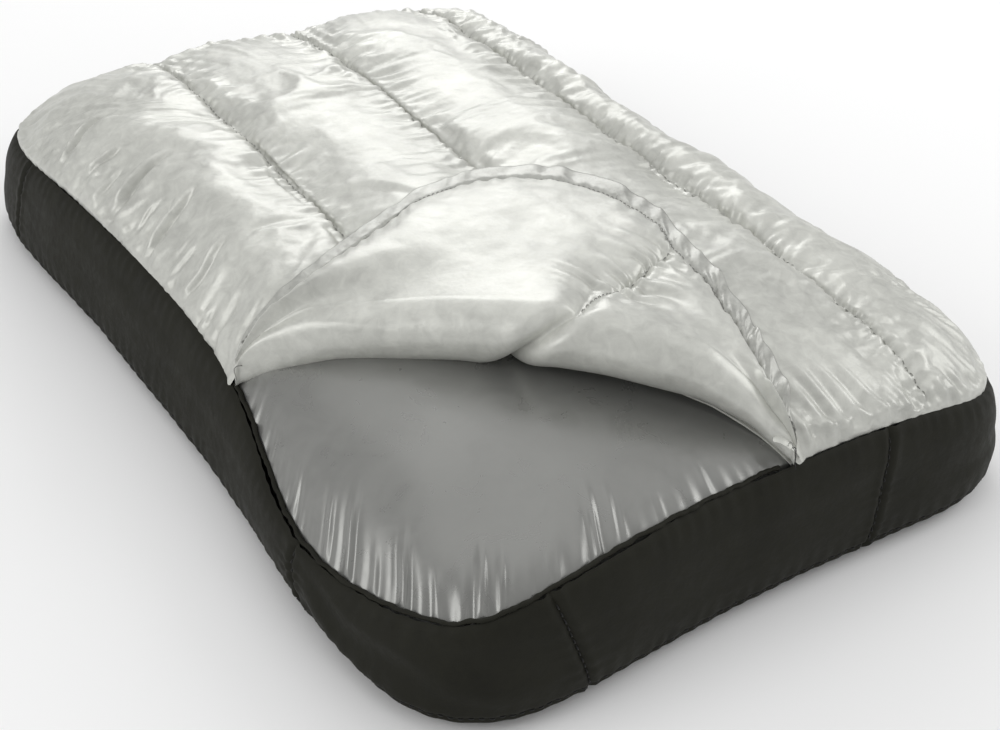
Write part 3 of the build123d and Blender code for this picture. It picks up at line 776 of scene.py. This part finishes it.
# the cells along the fold close up to it
near = np.abs(gap_d) < 4.0
on_edge = np.zeros_like(near)
kk = np.pad(keep, 1)
cnt = kk[:-1, :-1].astype(int) + kk[1:, :-1] + kk[:-1, 1:] + kk[1:, 1:]
on_edge = (cnt > 0) & (cnt < 4) & near & (s_ > -5) & (s_ < FLEN + 5)
X = np.where(on_edge, X - N[0] * gap_d, X)
Y = np.where(on_edge, Y - N[1] * gap_d, Y)
Z = np.where(on_edge, zq(X, Y), Z)
quilt, used = grid_mesh("quilt_shell_cloth", np.stack([X, Y, Z], -1), keep=keep)
flip_if_down(quilt, np.array([0, 0, 1.0]))
seam_cols = np.cumsum((0,) + NC)
pin = np.zeros(X.shape, bool)
for c in seam_cols:
    pin[:, c] = True
pin[0, :] = pin[-1, :] = True
under_flap = flap_inside(X, Y, -10.0) & (gap_d > -5)
pin |= under_flap | on_edge | (cnt < 4)
pinv = pin.reshape(-1)[used]
cloth(quilt, pinv, frames=16, pressure=1.6, grow=0.035, bend=0.02, stiff=14, cap=3.2)
subdivide(quilt, 1)
V = coords(quilt) / MM
NV = normals(quilt)
x, y = V[:, 0], V[:, 1]
p_, sdist = puff01(x, y)
r_ = np.minimum(rho(x, y), 1)
ad = np.abs(sdist)
along = y + 9 * noise(x / 40, y / 60, 1.3)
live = smooth(-14, -2, -np.where(flap_inside(x, y, -6.0), 0, -20.0))
puck = (np.sin(2 * np.pi * along / 6.4 + 4 * noise(x / 14, y / 18, 2.2)) * np.exp(-(ad / 6.5) ** 1.3) * 0.42
        + np.sin(2 * np.pi * along / 12.5 + 3 * noise(x / 30, y / 24, 7.2)) * np.exp(-((ad - 8) / 11.0) ** 2) * 0.55 * (0.4 + 0.8 * noise(x / 33, y / 26, 3.3)))
ang = np.arctan2(y / RIM_B, x / RIM_A)
peri = np.interp(np.mod(ang, 2 * np.pi), np.sort(np.mod(np.arctan2(RIM[1] / RIM_B, RIM[0] / RIM_A), 2 * np.pi)),
                 np.arange(2881)[np.argsort(np.mod(np.arctan2(RIM[1] / RIM_B, RIM[0] / RIM_A), 2 * np.pi))] / 8 * 4.03)
edge = (1 - r_) * 140
puck_r = (np.sin(2 * np.pi * peri / 6.0 + 3.5 * noise(peri / 15, 3.3)) * np.exp(-(edge / 9.0) ** 1.2) * 0.55 * (0.55 + 0.7 * noise(peri / 19, 8.8))
          + np.sin(2 * np.pi * peri / 11.5 + 3.0 * noise(peri / 26, edge / 30, 6.1)) * np.exp(-((edge - 12) / 16.0) ** 2) * 0.8 * (0.3 + 0.9 * noise(peri / 30, edge / 40, 5.4)))
disp = 1.45 * puck + 0.95 * puck_r
disp += 0.9 * noise(x / 30, y / 42, 9.1) + 0.45 * noise(x / 12, y / 19, 2.9) + 0.22 * noise(x / 6, y / 9, 5.9)
# creases across the outer channel: start, end, depth, width
for (x0, y0), (x1, y1), dp, wd in [((-139, 136), (-112, 139), 2.4, 4.2), ((-136, 112), (-118, 108), 1.6, 3.0), ((-136, 78), (-104, 84), 2.8, 4.4),
                                   ((-137, 96), (-122, 96), 1.2, 3.0), ((-136, 42), (-108, 47), 2.4, 4.0), ((-136, 20), (-120, 17), 1.3, 3.2), ((-137, 4), (-112, 6), 1.6, 3.4),
                                   ((-134, 60), (-121, 58), 1.1, 2.8), ((138, 60), (112, 64), 1.8, 4.0), ((139, -40), (114, -34), 1.8, 4.0), ((140, -110), (116, -104), 1.5, 3.8),
                                   ((139, 120), (115, 118), 1.6, 3.6)]:
    dx, dy = x1 - x0, y1 - y0
    ln = math.hypot(dx, dy)
    t = ((x - x0) * dx + (y - y0) * dy) / ln
    q = (-(x - x0) * dy + (y - y0) * dx) / ln
    q = q + 1.6 * noise(x / 14, y / 14, 1.1)
    env = np.exp(-((t - ln * 0.45) / (ln * 0.42)) ** 4)
    disp -= 1.15 * dp * env * (np.exp(-(q / (wd * 0.34)) ** 2) - 0.75 * np.exp(-((q - wd * 0.85) / (wd * 0.55)) ** 2) - 0.30 * np.exp(-((q + wd * 1.0) / (wd * 0.8)) ** 2))
gathers = noise(peri / 2.5, edge / 22, 3.0) * np.exp(-(edge / 25) ** 2) * 0.62 + noise(peri / 4.6, edge / 34, 8.0) * np.exp(-(edge / 34) ** 2) * 0.7 * (0.5 + noise(peri / 40, 1.0))
gathers = gathers * (0.65 + 0.35 * np.clip(np.abs(uv(x, y)[0]) ** 8 * 2, 0, 1))
gathers += noise(along / 2.3, ad / 15, 6.0) * np.exp(-(ad / 15.0) ** 2) * 0.42
disp += gathers
disp -= 1.2 * np.exp(-(ad / 0.9) ** 2)
blk = np.where(flap_inside(x, y, -12.0), 0.12, 1.0)
fade = np.where(np.abs(sd(x, y)[1] - fold_d(sd(x, y)[0])) < 3, 0.2, 1.0)
V = V + NV * (disp * blk * fade)[:, None] * smooth(1.0, 0.985, r_)[:, None] + NV * (disp * blk * 0.35)[:, None] * (1 - smooth(1.0, 0.985, r_))[:, None]
set_coords(quilt, V * MM)
shade(quilt, M_SILVER)
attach(quilt, "cover")
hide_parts("quilt_shell", "down_fill_1", "down_fill_2", "down_fill_3", "down_fill_4")

# a lookup of the finished quilt surface, for what is sewn to it or lies on it
from mathutils.bvhtree import BVHTree
bvh = BVHTree.FromPolygons([v.co.copy() for v in quilt.data.vertices], [tuple(pl.vertices) for pl in quilt.data.polygons])


def on_quilt(x, y):
    hit = bvh.ray_cast(Vector((x * MM, y * MM, 0.2)), Vector((0, 0, -1)))
    if hit[0] is None:
        return None
    return hit[0].z / MM, hit[1]


for j in range(3):
    ys = np.linspace(-219, 219, 260)
    path, nn = [], []
    for yy in ys:
        xx = float(seam_x(j, np.array([yy]))[0])
        if rho(xx, yy) > 0.985:
            continue
        h = on_quilt(xx, yy)
        if h is None or bool(flap_inside(np.array([xx]), np.array([yy]), -2)[0]):
            if len(path) > 8:
                break
            path, nn = [], []
            continue
        path.append((xx, yy, h[0]))
        nn.append((0, 0, 1))
    # the run beyond the flap
    runs = [(path, nn)]
    path, nn = [], []
    for yy in ys[::-1]:
        xx = float(seam_x(j, np.array([yy]))[0])
        if rho(xx, yy) > 0.985:
            continue
        h = on_quilt(xx, yy)
        if h is None or bool(flap_inside(np.array([xx]), np.array([yy]), 0)[0]):
            break
        path.append((xx, yy, h[0]))
        nn.append((0, 0, 1))
    if j != 2:
        runs = [(path, nn)]
    for a, (pp, n2) in enumerate(runs):
        if len(pp) < 6:
            continue
        ob = stitches("quilt_seam_stitch_%d_%d" % (j + 1, a), np.array(pp), np.array(n2), 2.1, 1.0, 0.22, 0.12)
        shade(ob, M_THREAD_L)
        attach(ob, "cover")

# ---------------------------------------------------------------- corner flap
NS, NT = 230, 120
sig = (1 - np.cos(np.linspace(0.0, math.pi, NS))) / 2 * 0.35 + np.linspace(0, 1, NS) * 0.65
zs_s = np.array([0, 0.04, 0.18, 0.37, 0.52, 0.66, 0.83, 0.92, 0.97, 1.0])
zs_z = np.array([49.5, 54, 69.6, 78.5, 84.2, 84.6, 80.7, 72.5, 63.5, 59.0])
zsil = np.interp(sig, zs_s, zs_z)
kern = np.exp(-np.linspace(-2, 2, 17) ** 2); kern /= kern.sum()
zsil = np.convolve(np.pad(zsil, 8, mode="reflect", reflect_type="odd"), kern, mode="valid")
bow = np.clip(1 - (2 * sig - 1) ** 4, 0, 1) ** 0.8
SEAM0 = 113.0     # where the flap's seam meets the fold, along it
s_mm = sig * FLEN
pinch = np.exp(-(np.abs(s_mm - SEAM0) / 5.5) ** 1.5)
r_roll = np.maximum(14.2 * bow, 1.4)
dc = np.maximum(18.0 * bow, 0.6)
zc = np.minimum(zsil + 4.7 * bow, 89.4)

# edge of the flap by arc length
seg = np.hypot(*np.diff(FLAP_EDGE, axis=0).T)
La = np.concatenate([[0], np.cumsum(seg)])
fine = np.linspace(0, La[-1], 900)
ex, ey = np.interp(fine, La, FLAP_EDGE[:, 0]), np.interp(fine, La, FLAP_EDGE[:, 1])
k9 = np.exp(-np.linspace(-2, 2, 41) ** 2); k9 /= k9.sum()
ex = np.convolve(np.pad(ex, 20, mode="reflect", reflect_type="odd"), k9, mode="valid")
ey = np.convolve(np.pad(ey, 20, mode="reflect", reflect_type="odd"), k9, mode="valid")
EXs, EYs = np.interp(sig * La[-1], fine, ex), np.interp(sig * La[-1], fine, ey)
ruffle = 1.3 * noise(sig * 19, 2.0) + 0.7 * noise(sig * 41, 5.0)
cdir = np.stack([EXs + 25.0, EYs + 95.0], -1)
cdir /= np.linalg.norm(cdir, axis=1, keepdims=True)
amp = smooth(0, 0.06, sig) * smooth(1, 0.94, sig)
ruffle = ruffle + 4.5 * np.exp(-((sig - 0.36) / 0.22) ** 2)
EXs, EYs = EXs + cdir[:, 0] * ruffle * amp, EYs + cdir[:, 1] * ruffle * amp

rows = []
kinds = []
# lining: a short tail under the quilt, then round the roll
for ext in (4.0, 2.0):
    px, py = from_sd(s_mm, dc + ext)
    rows.append(np.stack([px, py, zc - r_roll], -1)); kinds.append("lining")
for ph in np.linspace(0, math.pi, 26):
    sc_ = 119.5 + 15.0 * (ph / (math.pi / 2) - 1)
    rl = r_roll * (1 - 0.40 * np.exp(-(np.abs(s_mm - sc_) / 3.8) ** 1.3) + 0.07 * np.exp(-((s_mm - sc_ - 9) / 6.0) ** 2) + 0.05 * np.exp(-((s_mm - sc_ + 11) / 6.0) ** 2))
    dd = dc - rl * np.sin(ph)
    px, py = from_sd(s_mm, dd)
    flat = 1.0
    zr_ = zc - rl * np.cos(ph) * np.where(ph > math.pi / 2, 0.92, 1.0)
    low_ = np.maximum(zq(px, py, puff=0.0) + 2.6, zq(px, py) + 2.0)
    up_ = smooth(0.45, 0.85, ph / math.pi)
    gapz = low_ - zr_
    zr_ = zr_ + up_ * np.where(gapz > -3, (np.maximum(gapz + 3, 0) ** 2) / 12 * (gapz < 3) + gapz * (gapz >= 3), 0)
    rows.append(np.stack([px, py, zr_], -1)); kinds.append("lining")
F0x, F0y = from_sd(s_mm, dc)
ztop0 = rows[-1][:, 2]
ztop0 = np.maximum(ztop0, zq(rows[-1][:, 0], rows[-1][:, 1]) + 2.2)
rows[-1][:, 2] = ztop0
sx0, sy0 = from_sd(134.5, 18.0)
sx1, sy1 = 37.0, -110.0
sl = math.hypot(sx1 - sx0, sy1 - sy0)
ux, uy = (sx1 - sx0) / sl, (sy1 - sy0) / sl
HEM_T = None
tt = np.concatenate([np.linspace(0, 1, NT)[1:]])
edge_len = np.hypot(EXs - F0x, EYs - F0y)
hem_t = np.clip(1 - 12.5 / np.maximum(edge_len, 14.0), 0.25, 0.97)


def surf_q(x, y):
    return zq(x, y) + 1.3


def surf_top(x, y):
    """The flap spans the channels under it, so its top follows their mean."""
    return zq(x, y, puff=0.0) + 2.2


def top_height(px, py, T):
    base = surf_top(px, py)
    th0 = ztop0 - surf_top(F0x, F0y)
    tl = np.clip(T / hem_t, 0, 1)
    th = 3.4 + 6.4 * np.sin(np.pi * np.clip(tl, 0, 1)) ** 0.8 * amp
    q = -(px - sx0) * uy + (py - sy0) * ux
    along = (px - sx0) * ux + (py - sy0) * uy
    on = smooth(-17, -5, along) * smooth(sl + 10, sl - 6, along)
    qn = q + 1.2 * noise(along / 8, 3.0)
    ditch = np.exp(-(np.abs(qn) / 9.0) ** 1.1) * on
    th = th * (1 - 0.60 * ditch) - (2.9 + 1.8 * smooth(60, 0, along)) * np.exp(-(qn / 1.4) ** 2) * on
    th = th + 2.6 * np.exp(-((qn + 4.2) / 2.2) ** 2) * on * smooth(90, 10, along) - 2.2 * np.exp(-((qn + 8.5) / 2.4) ** 2) * on * smooth(45, 5, along)
    pk = np.sin(2 * np.pi * along / 7.0 + 3 * noise(along / 9, q / 20)) * np.exp(-((np.abs(q) - 3) / 7.5) ** 2) * on
    pk2 = np.sin(2 * np.pi * along / 13.0 + 2.5 * noise(along / 15, q / 20, 4.0)) * np.exp(-((np.abs(q) - 11) / 11.0) ** 2) * on
    th = th + 1.0 * pk + (1.8 * pk2 * smooth(70, 0, along) + 0.6 * pk2) * smooth(-20, 10, along)
    th = th + (1.2 * noise(px / 34, py / 34, 3.7) + 0.6 * noise(px / 15, py / 18, 1.9) + 0.28 * noise(px / 7, py / 7, 7.7)) * smooth(0, 0.15, tl)
    # gathers along the hem stitch line
    hemd = (hem_t - T) * edge_len
    pe = sig * La[-1]
    th = th + 0.85 * np.sin(2 * np.pi * pe / 9.0 + 3.2 * noise(pe / 16, 6.0)) * np.exp(-(hemd / 8.0) ** 2) * (0.6 + 0.6 * noise(pe / 25, 2.0)) * amp
    th = th - 2.2 * np.exp(-(hemd / 1.2) ** 2) * amp
    hz = np.clip((T - hem_t) / (1 - hem_t), 0, 1)
    ruf = 0.35 + 0.65 * smooth(0.40, 0.56, sig)
    ribbon = (1.1 + 1.5 * smooth(0, 0.28, hz) + ruf * (1.25 * np.sin(2 * np.pi * pe / 17 + 3.5 * noise(pe / 24, 9.0)) + 1.1 * noise(pe / 11, 1.0)) * smooth(0.05, 0.8, hz)
              + ruf * 0.7 * np.sin(2 * np.pi * (pe + 9 * hz) / 6.5 + 3 * noise(pe / 14, 4.0)) * np.exp(-((hz - 0.25) / 0.3) ** 2))
    out = np.where(T > hem_t, np.maximum(ribbon, 0.6), np.maximum(th, 1.0))
    zt = base + lerp(th0, out, smooth(0.0, 0.46, tl))
    lowz = zq(px, py) + 2.3
    return 0.5 * (zt + lowz + np.sqrt((zt - lowz) ** 2 + 1.2)) - 0.3


trow = []
for T in tt:
    # rows follow the hem line so that the stitching lies on a row
    Te = np.where(T < 0.86, T / 0.86 * hem_t, hem_t + (T - 0.86) / 0.14 * (1 - hem_t))
    px, py = lerp(F0x, EXs, Te), lerp(F0y, EYs, Te)
    zt = top_height(px, py, Te)
    rows.append(np.stack([px, py, zt], -1))
    kinds.append("lining" if T < 0.86 else "hem")
    trow.append(Te)
# underside: the shell, from the hem's edge back to the crease
CRx, CRy = from_sd(s_mm, dc + 1.2)
for T in np.linspace(1, 0, 46)[1:]:
    px, py = lerp(CRx, EXs, T), lerp(CRy, EYs, T)
    base = surf_q(px, py)
    zb = base - 0.35 + 0.12 * noise(px / 12, py / 12, 2.0)
    mixz = smooth(0.0, 0.10, T)
    zcr = np.minimum(np.maximum(zc, base - 0.3), Z_AXIS + 0.2)
    rows.append(np.stack([px, py, lerp(zcr, zb, mixz)], -1))
    kinds.append("shell" if T < 0.93 else "hem")
FL = np.stack(rows, 0)
R, C = FL.shape[:2]
kinds = np.array(kinds)
row_kind = kinds[1:]
cs, cd = sd((FL[:-1, :-1, 0] + FL[1:, 1:, 0]) / 2, (FL[:-1, :-1, 1] + FL[1:, 1:, 1]) / 2)
full, _ = grid_mesh("flap_full", FL)
ctop = coords(full)
nf = normals(full)
topi = (28 + 40) * C + C // 2
if nf[topi][2] < 0:
    full.data.flip_normals()
    full.data.update()
    nf = normals(full)
    FLIPPED = True
else:
    FLIPPED = False
NF = nf.reshape(R, C, 3)
SPLIT = 80.0


def to_flap(ob, tip):
    if tip:
        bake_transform(ob)
    else:
        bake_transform(ob)
    return ob


REPL = {("lining", 0): ("flap_lining", "flap_fill_1", "flap_fill_2"), ("lining", 1): ("flap_tip_lining", "flap_tip_fill"),
        ("hem", 0): ("flap_hem",), ("hem", 1): ("flap_tip_hem",), ("shell", 0): ("flap_shell",), ("shell", 1): ("flap_tip_shell",)}
for kind in ("lining", "hem", "shell"):
    for tip in (0, 1):
        kp = np.repeat((row_kind == kind)[:, None], C - 1, 1) & ((cd > SPLIT) == bool(tip))
        ob, usd = grid_mesh("flap_%s_cloth_%s" % (kind, "tip" if tip else "inner"), FL, keep=kp)
        if FLIPPED:
            ob.data.flip_normals()
        ob.data.normals_split_custom_set_from_vertices([tuple(n) for n in nf[usd]])
        shade(ob, {"shell": M_SILVER, "hem": M_HEM, "lining": M_LINING}[kind])
        to_flap(ob, tip)
        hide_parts(*REPL[(kind, tip)])
bpy.data.objects.remove(full)


def flap_stitch(name, pts, nrm, **kw):
    """Stitches on the flap, split where the tip starts."""
    pts, nrm = np.array(pts), np.array(nrm)
    _, dd = sd(pts[:, 0], pts[:, 1])
    tipm = dd > SPLIT
    runs, a = [], 0
    for k in range(1, len(pts) + 1):
        if k == len(pts) or tipm[k] != tipm[a]:
            runs.append((a, k, bool(tipm[a])))
            a = k
    for n_, (a, b, tip) in enumerate(runs):
        if b - a < 5:
            continue
        ob = stitches("%s_%d" % (name, n_), pts[a:b], nrm[a:b], **kw)
        shade(ob, M_THREAD)
        to_flap(ob, tip)


hr = 28 + int(np.argmin(np.abs(tt - 0.86)))
flap_stitch("flap_hem_stitch", FL[hr, 4:-3], NF[hr, 4:-3], length=1.7, gap=0.8, r=0.30, lift=0.8)
# stitches of the flap's own seam, laid on its surface
bvf = BVHTree.FromPolygons([Vector(tuple(v)) for v in (FL[28:hr + 1].reshape(-1, 3) * MM)],
                           [(r * C + c, r * C + c + 1, (r + 1) * C + c + 1, (r + 1) * C + c) for r in range(hr - 28) for c in range(C - 1)])
pp, n2 = [], []
for a in np.linspace(-2, sl - 1, 60):
    hx, hy = sx0 + ux * a, sy0 + uy * a
    h = bvf.ray_cast(Vector((hx * MM, hy * MM, 0.2)), Vector((0, 0, -1)))
    if h[0] is not None:
        pp.append((hx, hy, h[0].z / MM))
        n2.append(tuple(h[1] if h[1].z > 0 else -h[1]))
flap_stitch("flap_seam_stitch", pp, n2, length=2.0, gap=1.0, r=0.26, lift=0.3)

# ---------------------------------------------------------------- folded tab and loose threads at the fold's right end
tb = []
for a_, w_, h_ in ((0, 3.4, 2.0), (3.0, 4.2, 4.2), (6.0, 3.6, 3.4), (9.0, 4.6, 4.8), (12.5, 3.8, 2.6)):
    bx_, by_ = from_sd(FLEN - 9.5 + a_, 1.5 + 0.5 * math.sin(a_))
    zz = float(zq(np.array([bx_]), np.array([by_]))[0])
    tb.append([(bx_ + N[0] * k_ * w_ * 2.2 - N[0] * 3, by_ + N[1] * k_ * w_ * 2.2 - N[1] * 3, zz + h_ * (0.45 + 0.55 * math.sin(math.pi * (0.15 + 0.7 * k_))) + 0.5 * math.sin(7 * k_ + a_))
               for k_ in np.linspace(0, 1, 9)])
tab, _ = grid_mesh("fold_tab_cloth", np.array(tb))
subdivide(tab, 1)
flip_if_down(tab, np.array([0, 0, 1.0]))
shade(tab, M_LINING)
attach(tab, "cover")
for n_, (s0_, ang_, ln_) in enumerate(((FLEN - 3, -1.9, 9.0), (FLEN - 5, -1.2, 7.0), (2.0, -2.4, 6.0))):
    bx_, by_ = from_sd(s0_, 0.5)
    zz = float(zq(np.array([bx_]), np.array([by_]))[0]) + 2.0
    t_ = np.linspace(0, 1, 14)
    pth = np.stack([bx_ + ln_ * t_ * math.cos(ang_) + 1.2 * np.sin(5 * t_ + n_), by_ + ln_ * t_ * math.sin(ang_), zz + 2.5 * np.sin(3.0 * t_) - 3.0 * t_ * t_], -1)
    ob = tube("loose_thread_%d" % n_, pth, 0.22, sides=6)
    shade(ob, M_THREAD if n_ else M_THREAD_D)
    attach(ob, "cover")

# ---------------------------------------------------------------- hem along the opening's rim
i = np.linspace(193.0, 271.4, 420)
x, y = at(RIM, i)
nx, ny = normal_at(i)
z = rim_z(x, y) + 0.5 + 0.35 * noise(i * 1.3, 2.0)
wv = 0.5 * noise(i * 0.9, 4.0)
ob = tube("opening_hem_cloth", np.stack([x - nx * (1.2 + wv), y - ny * (1.2 + wv), z], -1), 1.0 + 0.2 * noise(i * 2.1, 7.0), sides=10, flat=0.7)
shade(ob, M_CHAR)
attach(ob, "cover")
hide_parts("opening_hem")
